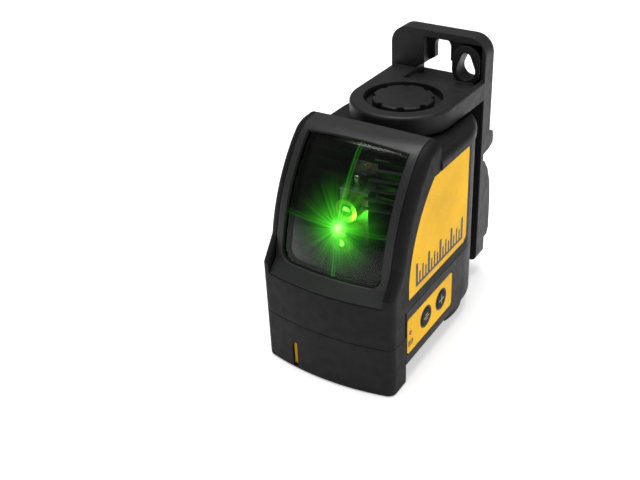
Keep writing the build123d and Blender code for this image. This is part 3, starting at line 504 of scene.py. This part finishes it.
# ---------------------------------------------------------------- settings
class LEVEL_PG_finishes(bpy.types.PropertyGroup):
    """Colours of the level's plastics, rubber and metals."""

    rubber: FloatVectorProperty(
        name="Rubber",
        description="Overmould and feet",
        subtype="COLOR",
        size=3,
        default=(0.0045, 0.0043, 0.0049),
    )
    plastic: FloatVectorProperty(
        name="Plastic",
        description="Base, rear shell and deck",
        subtype="COLOR",
        size=3,
        default=(0.0072, 0.0071, 0.0076),
    )
    bracket: FloatVectorProperty(
        name="Bracket",
        description="Wall bracket",
        subtype="COLOR",
        size=3,
        default=(0.0105, 0.0105, 0.0112),
    )
    bezel: FloatVectorProperty(
        name="Bezel",
        description="Frame round the window",
        subtype="COLOR",
        size=3,
        default=(0.0185, 0.0185, 0.0190),
    )
    yellow: FloatVectorProperty(
        name="Yellow",
        description="Side panels and keypad",
        subtype="COLOR",
        size=3,
        default=(0.90, 0.47, 0.006),
    )
    print_colour: FloatVectorProperty(
        name="Print",
        description="Printed marks",
        subtype="COLOR",
        size=3,
        default=(0.013, 0.012, 0.011),
    )


class LEVEL_PG_light(bpy.types.PropertyGroup):
    """The laser's light and the smoked window."""

    tint: FloatVectorProperty(
        name="Tint",
        description="What one face of the window lets through",
        subtype="COLOR",
        size=3,
        default=(0.64, 0.68, 0.63),
    )
    laser: FloatVectorProperty(
        name="Laser",
        description="Colour of the laser's light",
        subtype="COLOR",
        size=3,
        default=(0.09, 1.0, 0.03),
    )
    # Scales the window's painted glow, the lenses' glow and the spill lamp.
    strength: FloatProperty(name="Glow", description="Brightness of the glow", default=1.0, min=0.0)


class LEVEL_PG_details(bpy.types.PropertyGroup):
    """Sizes of the small raised details."""

    seal_radius: FloatProperty(
        name="Seal",
        description="Radius of the window seal",
        default=0.45 * MM,
        unit="LENGTH",
        precision=5,
    )
    print_height: FloatProperty(
        name="Print height",
        description="Height of printed marks",
        default=0.09 * MM,
        unit="LENGTH",
        precision=5,
    )
    wire_radius: FloatProperty(
        name="Spring wire",
        description="Radius of the springs' wire",
        default=0.42 * MM,
        unit="LENGTH",
        precision=5,
    )
    spring_turns: IntProperty(name="Turns", description="Turns in each battery spring", default=4, min=2)
    thread_pitch: FloatProperty(
        name="Pitch",
        description="Pitch of the tripod thread",
        default=1.27 * MM,
        unit="LENGTH",
        precision=5,
    )


class LEVEL_PG_stage(bpy.types.PropertyGroup):
    """Floor, lights and camera."""

    floor_colour: FloatVectorProperty(
        name="Floor",
        description="Studio paper",
        subtype="COLOR",
        size=3,
        default=(0.90, 0.90, 0.90),
    )
    key_power: FloatProperty(
        name="Key", description="Power of the large light above", default=9.0, unit="POWER"
    )
    side_power: FloatProperty(
        name="Side", description="Power of the light at the keypad side", default=1.7, unit="POWER"
    )
    room: FloatProperty(name="Room", description="Brightness of the room", default=0.22, min=0.0)
    lens: FloatProperty(name="Lens", description="Focal length", default=50.06, unit="CAMERA")


# ---------------------------------------------------------------- operators
FINISHES = {}


def dress(finish, *nodes):
    """Gives a finish to frame nodes."""
    for node in nodes:
        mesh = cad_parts[node].data
        mesh.materials.clear()
        mesh.materials.append(finish)


class LEVEL_OT_housing(bpy.types.Operator):
    """Finishes the rubber, the housing mouldings and the yellow panels."""

    bl_idname = "level.housing"
    bl_label = "Housing"

    def execute(self, context):
        colours = context.scene.level_finishes
        FINISHES["rubber_black"] = moulded(
            "rubber_black", colours.rubber, (0.52, 0.68), 0.00042, 0.000026, 0.0006, 0.30, level=0.16
        )
        FINISHES["plastic_black"] = moulded(
            "plastic_black", colours.plastic, (0.42, 0.58), 0.00030, 0.000014, 0.0004, 0.40, level=0.18
        )
        FINISHES["bezel_grey"] = moulded(
            "bezel_grey", colours.bezel, (0.38, 0.52), 0.00026, 0.000010, 0.0007, 0.40, level=0.28
        )
        FINISHES["yellow_plastic"] = moulded(
            "yellow_plastic", colours.yellow, (0.42, 0.55), 0.00050, 0.000005, 0.0003, 0.10, level=0.10
        )
        dress(
            FINISHES["rubber_black"], "overmould", "lower_bumper", "back_foot_pad", "magnet_pad", "line_button",
            "cross_button", "lock_pad",
        )
        dress(
            FINISHES["plastic_black"], "base_housing", "rear_housing", "top_deck", "battery_door", "lock_tab",
            "lock_carriage", "lock_guide", "chassis", "light_baffle", "power_switch", "board_parts",
            "friction_washer", "swivel_bush",
        )
        dress(FINISHES["bezel_grey"], "window_bezel")
        dress(FINISHES["yellow_plastic"], "left_panel", "right_panel", "keypad_strip", "lock_mark")
        return {"FINISHED"}


class LEVEL_OT_bracket(bpy.types.Operator):
    """Finishes the wall bracket, its pivot cap and its magnets."""

    bl_idname = "level.bracket"
    bl_label = "Bracket"

    def execute(self, context):
        colours = context.scene.level_finishes
        FINISHES["plastic_bracket"] = moulded(
            "plastic_bracket", colours.bracket, (0.40, 0.55), 0.00034, 0.000016, 0.0009, 0.40, level=0.26
        )
        FINISHES["magnet"] = turned_metal("magnet", (0.55, 0.56, 0.58), (0.18, 0.30), 0.0005, 1, 0.3)
        dress(FINISHES["plastic_bracket"], "bracket", "pivot_cap")
        dress(FINISHES["magnet"], "damping_magnets", "magnets")
        return {"FINISHED"}


class LEVEL_OT_mechanism(bpy.types.Operator):
    """Finishes the pendulum, gimbal, electronics and battery bay."""

    bl_idname = "level.mechanism"
    bl_label = "Mechanism"

    def execute(self, context):
        FINISHES["cast_alloy"] = cast_metal("cast_alloy", (0.56, 0.56, 0.54), (0.35, 0.55), 0.0004)
        FINISHES["black_alloy"] = cast_metal("black_alloy", (0.05, 0.05, 0.055), (0.3, 0.45), 0.0003)
        FINISHES["brass"] = turned_metal("brass", (0.72, 0.52, 0.22), (0.18, 0.34), 0.0003, 1, 0.5)
        FINISHES["copper"] = turned_metal("copper", (0.78, 0.36, 0.22), (0.25, 0.4), 0.0002, 2, 0.6)
        FINISHES["steel"] = turned_metal("steel", (0.52, 0.52, 0.53), (0.2, 0.35), 0.0002, 0, 0.3)
        FINISHES["board_green"] = board("board_green", (0.012, 0.09, 0.035))
        FINISHES["cell_wrap"] = cell_wrap("cell_wrap", (0.02, 0.02, 0.024), (0.55, 0.30, 0.08))
        dress(FINISHES["cast_alloy"], "hanger", "gimbal_ring", "pendulum_body")
        dress(FINISHES["black_alloy"], "lens_holders")
        dress(
            FINISHES["brass"], "upper_laser", "lower_laser", "bob", "balance_weight", "tripod_insert",
            "hanger_bearings", "yoke_bearings",
        )
        dress(FINISHES["copper"], "damping_plate")
        dress(
            FINISHES["steel"], "ring_pins", "yoke_pins", "door_hinge_pin", "housing_screws", "pivot_screw",
            "dome_switches", "battery_springs", "battery_plates",
        )
        dress(FINISHES["board_green"], "main_board", "keypad_board")
        dress(FINISHES["cell_wrap"], "battery_cells")
        return {"FINISHED"}


class LEVEL_OT_window(bpy.types.Operator):
    """Finishes the smoked window with its painted glow, the lit lenses and the status lamp, and seals the
    window.
    """

    bl_idname = "level.window"
    bl_label = "Window and lamps"

    def execute(self, context):
        light = context.scene.level_light
        sizes = context.scene.level_details
        FINISHES["smoked_window"] = smoked_window("smoked_window", light.tint, light.laser, light.strength)
        FINISHES["lens_glass"] = lit_part("lens_glass", (0.5, 0.9, 0.5), light.laser, 9.0 * light.strength)
        FINISHES["light_lens"] = lit_part("light_lens", (0.16, 0.015, 0.012), (1.0, 0.1, 0.05), 0.02)
        dress(FINISHES["smoked_window"], "window")
        dress(FINISHES["lens_glass"], "upper_lens", "lower_lens")
        dress(FINISHES["light_lens"], "status_light")
        loop = rounded_loop(SEAL_HALF, *SEAL_Z, *SEAL_CORNERS, SEAL_STEP)
        path = on_front(loop[:, 0], loop[:, 1], SEAL_INSET)
        section = ring_section(sizes.seal_radius)
        seal = carried(path, section, np.array([0.0, -1.0, 0.35]), closed=True)
        put("window_seal", seal, "level", FINISHES["rubber_black"], closed_rows=True)
        return {"FINISHED"}


class LEVEL_OT_inside(bpy.types.Operator):
    """Puts the louvres beside the lasers and the trim screw on the pendulum, behind the window."""

    bl_idname = "level.inside"
    bl_label = "Behind the window"

    def execute(self, context):
        # The louvres are really black: their pale grey is painted light standing for light that barely reaches
        # them behind the smoked window, and their pale edges are painted highlights.
        FINISHES["louvre_painted_lit"] = moulded(
            "louvre_painted_lit", (0.15, 0.15, 0.155), (0.35, 0.5), 0.0004, 0.000008, 0.0003, 0.9, level=0.5
        )
        z = LOUVRE_LOW_Z + LOUVRE_PITCH * np.arange(LOUVRE_COUNT)
        x = np.linspace(*LOUVRE_X, 12)
        up = np.array([0.0, 0.0, 1.0])
        ribs = [
            carried(on_front(x, np.full_like(x, height), LOUVRE_INSET), LOUVRE_SECTION, up) for height in z
        ]
        put("louvre_ribs", np.concatenate(ribs), "level", FINISHES["louvre_painted_lit"])
        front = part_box("pendulum_body")[0].y
        turn = np.linspace(0, 2 * np.pi, TRIM_COLUMNS, endpoint=False)
        radius, height = TRIM_OUTLINE.T
        points = np.stack(
            [
                np.outer(radius, np.cos(turn)),
                np.outer(radius, np.sin(turn)),
                np.repeat(height[:, None], TRIM_COLUMNS, axis=1),
            ],
            axis=-1,
        )
        place = np.array([0.0, front + TRIM_SETBACK, TRIM_Z])
        put("trim_screw", (points + place)[None], "pendulum", FINISHES["steel"])
        return {"FINISHED"}


class LEVEL_OT_keypad(bpy.types.Operator):
    """Puts the marks on the two buttons and the battery sign beside the status lamp."""

    bl_idname = "level.keypad"
    bl_label = "Keypad marks"

    def execute(self, context):
        height = context.scene.level_details.print_height
        x_axis, y_axis, z_axis = np.eye(3)
        FINISHES["mark_print"] = moulded(
            "mark_print", (0.32, 0.31, 0.29), (0.4, 0.55), 0.0004, 0.000005, 0.0001, 0.1
        )
        FINISHES["dark_print"] = moulded(
            "dark_print", context.scene.level_finishes.print_colour, (0.4, 0.55), 0.0004, 0.000005, 0.0001, 0.1
        )
        for name, bars in BUTTON_MARKS.items():
            low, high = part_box(name)
            middle = (low + high) / 2
            turn, offset, length, width = np.array(bars).T
            angle = np.radians(turn)
            along = np.outer(np.cos(angle), y_axis) + np.outer(np.sin(angle), z_axis)
            across = np.outer(-np.sin(angle), y_axis) + np.outer(np.cos(angle), z_axis)
            centres = np.array([high.x, middle.y, middle.z]) + across * offset[:, None] * MM
            marks = pads(centres, along, across, x_axis, length * MM, width * MM, height, power=5.0)
            put(f"{name}_mark", marks, name, FINISHES["mark_print"])
        face_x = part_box("keypad_strip")[1].x
        lamp_low, lamp_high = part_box("status_light")
        lamp = (lamp_low + lamp_high) / 2
        y, z, half_long, half_wide = SIGN_BARS.T
        centres = np.array([face_x, lamp.y, lamp.z - SIGN_DROP]) + np.outer(y, y_axis) + np.outer(z, z_axis)
        sign = pads(centres, y_axis, z_axis, x_axis, half_long, half_wide, height, power=6.0)
        put("battery_sign", sign, "level", FINISHES["dark_print"])
        turn = np.linspace(0, 2 * np.pi, COLLAR_STEPS, endpoint=False)
        section = ring_section(COLLAR_SECTION_RADIUS, 10, COLLAR_FLATNESS)
        for name in BUTTON_MARKS:
            low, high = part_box(name)
            middle = (low + high) / 2
            ring_y = middle.y + COLLAR_RADIUS * np.cos(turn)
            ring_z = middle.z + COLLAR_RADIUS * np.sin(turn)
            ring = np.stack([np.full(COLLAR_STEPS, face_x), ring_y, ring_z], axis=1)
            collar = carried(ring, section, x_axis, closed=True)
            put(f"{name}_collar", collar, "level", FINISHES["dark_print"], closed_rows=True)
        return {"FINISHED"}


class LEVEL_OT_scale(bpy.types.Operator):
    """Prints a plain graduated scale low on each side panel."""

    bl_idname = "level.scale"
    bl_label = "Side scale"

    def execute(self, context):
        height = context.scene.level_details.print_height
        x_axis, y_axis, z_axis = np.eye(3)
        number = np.arange(TICK_COUNT)
        half_tall = np.where(number % 4 == 0, 5.4, np.where(number % 2 == 0, 4.0, 2.9)) * MM
        half_wide = np.where(number % 4 == 0, 0.95, 0.62) * MM
        y = TICK_FIRST_Y + TICK_PITCH * number
        for side, node in ((1, "right_panel"), (-1, "left_panel")):
            low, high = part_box(node)
            face_x = high.x if side > 0 else low.x
            centres = np.stack([np.full(TICK_COUNT, face_x), y, SCALE_Z + half_tall], axis=1)
            ticks = pads(centres, y_axis, z_axis, side * x_axis, half_wide, half_tall, height, power=7.0)
            rail_centre = np.array([face_x, (y[0] + y[-1]) / 2, SCALE_Z])
            rail = pads(rail_centre, y_axis, z_axis, side * x_axis, *RAIL_HALF, height, power=12.0)
            scale = np.concatenate([ticks, rail])
            put(f"{node}_scale", scale, "level", FINISHES["dark_print"])
        return {"FINISHED"}


class LEVEL_OT_springs(bpy.types.Operator):
    """Winds the three conical battery springs in place of the stacked rings."""

    bl_idname = "level.springs"
    bl_label = "Battery springs"

    def execute(self, context):
        sizes = context.scene.level_details
        low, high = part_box("battery_springs")
        cell_low, cell_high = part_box("battery_cells")
        wire = sizes.wire_radius
        turn = np.linspace(0, 2 * np.pi * sizes.spring_turns, 34 * sizes.spring_turns)
        share = turn / turn[-1]
        coil = COIL_RADII[0] + (COIL_RADII[1] - COIL_RADII[0]) * share
        x = low.x + wire + (high.x - low.x - 2 * wire) * np.clip((share - 0.1) / 0.8, 0, 1)
        coils = []
        z_middle = (cell_low.z + cell_high.z) / 2
        for y_middle in CELL_ROWS:
            path = np.stack([x, y_middle + coil * np.cos(turn), z_middle + coil * np.sin(turn)], axis=1)
            coils.append(carried(path, ring_section(wire, 8), np.array([1.0, 0.0, 0.0])))
        put("wound_springs", np.concatenate(coils), "level", FINISHES["steel"], ("battery_springs",))
        return {"FINISHED"}


class LEVEL_OT_thread(bpy.types.Operator):
    """Cuts the tripod thread's ridge into the brass insert."""

    bl_idname = "level.thread"
    bl_label = "Tripod thread"

    def execute(self, context):
        pitch = context.scene.level_details.thread_pitch
        low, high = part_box("tripod_insert")
        turns = (high.z - low.z - THREAD_RELIEF) / pitch
        turn = np.linspace(0, 2 * np.pi * turns, int(30 * turns))
        z = low.z + THREAD_LEAD_IN + pitch * turn / (2 * np.pi)
        path = np.stack([THREAD_RADIUS * np.cos(turn), THREAD_RADIUS * np.sin(turn), z], axis=1)
        ridge = carried(path, THREAD_SECTION, np.array([0.0, 0.0, 1.0]))
        put("thread_ridge", ridge, "level", FINISHES["brass"])
        return {"FINISHED"}


class LEVEL_OT_solder(bpy.types.Operator):
    """Solders the main board: rows of chip legs and joints."""

    bl_idname = "level.solder"
    bl_label = "Solder joints"

    def execute(self, context):
        face_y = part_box("main_board")[0].y
        x_axis, y_axis, z_axis = np.eye(3)
        rows = []
        for count, pitch, heights in SOLDER_ROWS:
            x = np.tile((np.arange(count) - (count - 1) / 2) * pitch, 2)
            rows.append(np.stack([x, np.full(2 * count, face_y), np.repeat(heights, count)], axis=1))
        chip, joints = rows
        legs = pads(chip, x_axis, z_axis, -y_axis, 0.28 * MM, 0.9 * MM, 0.5 * MM, power=5.0, columns=12)
        dots = pads(joints, x_axis, z_axis, -y_axis, 0.8 * MM, 0.8 * MM, 0.6 * MM, power=2.0, columns=12)
        put("solder_joints", np.concatenate([legs, dots]), "level", FINISHES["steel"])
        return {"FINISHED"}


class LEVEL_OT_stage(bpy.types.Operator):
    """Sets up the floor, the soft lights and the camera."""

    bl_idname = "level.stage"
    bl_label = "Studio"

    def execute(self, context):
        scene = context.scene
        stage = scene.level_stage
        light = scene.level_light
        line = np.linspace(-FLOOR_HALF, FLOOR_HALF, 25)
        across, along = np.meshgrid(line, line, indexing="ij")
        points = np.stack([across, along, np.full_like(across, cad_low.z - FLOOR_DROP)], axis=-1).reshape(-1, 3)
        index = np.arange(len(points)).reshape(across.shape)
        quads = np.stack([index[:-1, :-1], index[1:, :-1], index[1:, 1:], index[:-1, 1:]], axis=-1)
        mesh = bpy.data.meshes.new("floor")
        mesh.from_pydata(points.tolist(), [], quads.reshape(-1, 4).tolist())
        mesh.materials.append(floor_finish("studio_paper", stage.floor_colour))
        floor = bpy.data.objects.new("floor", mesh)
        scene.collection.objects.link(floor)
        world = bpy.data.worlds.new("studio_room")
        world.use_nodes = True
        world.node_tree.nodes["Background"].inputs["Color"].default_value = (1.0, 1.0, 1.0, 1.0)
        world.node_tree.nodes["Background"].inputs["Strength"].default_value = stage.room
        scene.world = world
        middle = (cad_low + cad_high) / 2
        for name, place, size, power, colour in (
            ("key_light", (-0.08, 0.02, 0.95), 0.6, stage.key_power, (1.0, 1.0, 1.0)),
            ("side_light", (0.75, -0.15, 0.45), 0.5, stage.side_power, (1.0, 0.99, 0.97)),
        ):
            data = bpy.data.lights.new(name, "AREA")
            data.size = size
            data.energy = power
            data.color = colour
            lamp = bpy.data.objects.new(name, data)
            lamp.location = place
            lamp.rotation_mode = "QUATERNION"
            lamp.rotation_quaternion = (lamp.location - middle).to_track_quat("Z", "Y")
            scene.collection.objects.link(lamp)
        data = bpy.data.lights.new("laser_spill", "POINT")
        data.energy = SPILL_POWER * light.strength
        data.color = light.laser[:3]
        data.shadow_soft_size = 0.002
        spill = bpy.data.objects.new("laser_spill", data)
        spill.location = SPILL_PLACE
        scene.collection.objects.link(spill)
        data = bpy.data.cameras.new("studio_camera")
        data.lens = stage.lens
        data.sensor_width = 36.0
        data.shift_x, data.shift_y = CAMERA_SHIFT
        data.clip_start = 0.01
        data.clip_end = 20.0
        camera = bpy.data.objects.new("studio_camera", data)
        camera.location = CAMERA_PLACE
        camera.rotation_euler = CAMERA_TURN
        scene.collection.objects.link(camera)
        scene.camera = camera
        scene.view_settings.view_transform = "Standard"
        scene.view_settings.look = "None"
        return {"FINISHED"}


class LEVEL_PT_panel(bpy.types.Panel):
    """Lists the steps and their settings."""

    bl_idname = "LEVEL_PT_panel"
    bl_label = "Laser level"
    bl_space_type = "VIEW_3D"
    bl_region_type = "UI"
    bl_category = "Laser level"

    def draw(self, context):
        for step in STEPS:
            self.layout.operator(step.bl_idname)
        for group in GROUPS:
            settings = getattr(context.scene, group)
            for name in settings.__annotations__:
                self.layout.prop(settings, name)


GROUPS = {
    "level_finishes": LEVEL_PG_finishes,
    "level_light": LEVEL_PG_light,
    "level_details": LEVEL_PG_details,
    "level_stage": LEVEL_PG_stage,
}
STEPS = (
    LEVEL_OT_housing,
    LEVEL_OT_bracket,
    LEVEL_OT_mechanism,
    LEVEL_OT_window,
    LEVEL_OT_inside,
    LEVEL_OT_keypad,
    LEVEL_OT_scale,
    LEVEL_OT_springs,
    LEVEL_OT_thread,
    LEVEL_OT_solder,
    LEVEL_OT_stage,
)


def register():
    for group in GROUPS.values():
        bpy.utils.register_class(group)
    for name, group in GROUPS.items():
        setattr(bpy.types.Scene, name, PointerProperty(type=group))
    for step in (*STEPS, LEVEL_PT_panel):
        bpy.utils.register_class(step)


def unregister():
    for step in (LEVEL_PT_panel, *reversed(STEPS)):
        bpy.utils.unregister_class(step)
    for name in GROUPS:
        delattr(bpy.types.Scene, name)
    for group in reversed(GROUPS.values()):
        bpy.utils.unregister_class(group)


def main():
    """Runs every step in order."""
    register()
    bpy.ops.level.housing()
    bpy.ops.level.bracket()
    bpy.ops.level.mechanism()
    bpy.ops.level.window()
    bpy.ops.level.inside()
    bpy.ops.level.keypad()
    bpy.ops.level.scale()
    bpy.ops.level.springs()
    bpy.ops.level.thread()
    bpy.ops.level.solder()
    bpy.ops.level.stage()


if __name__ == "__main__":
    main()
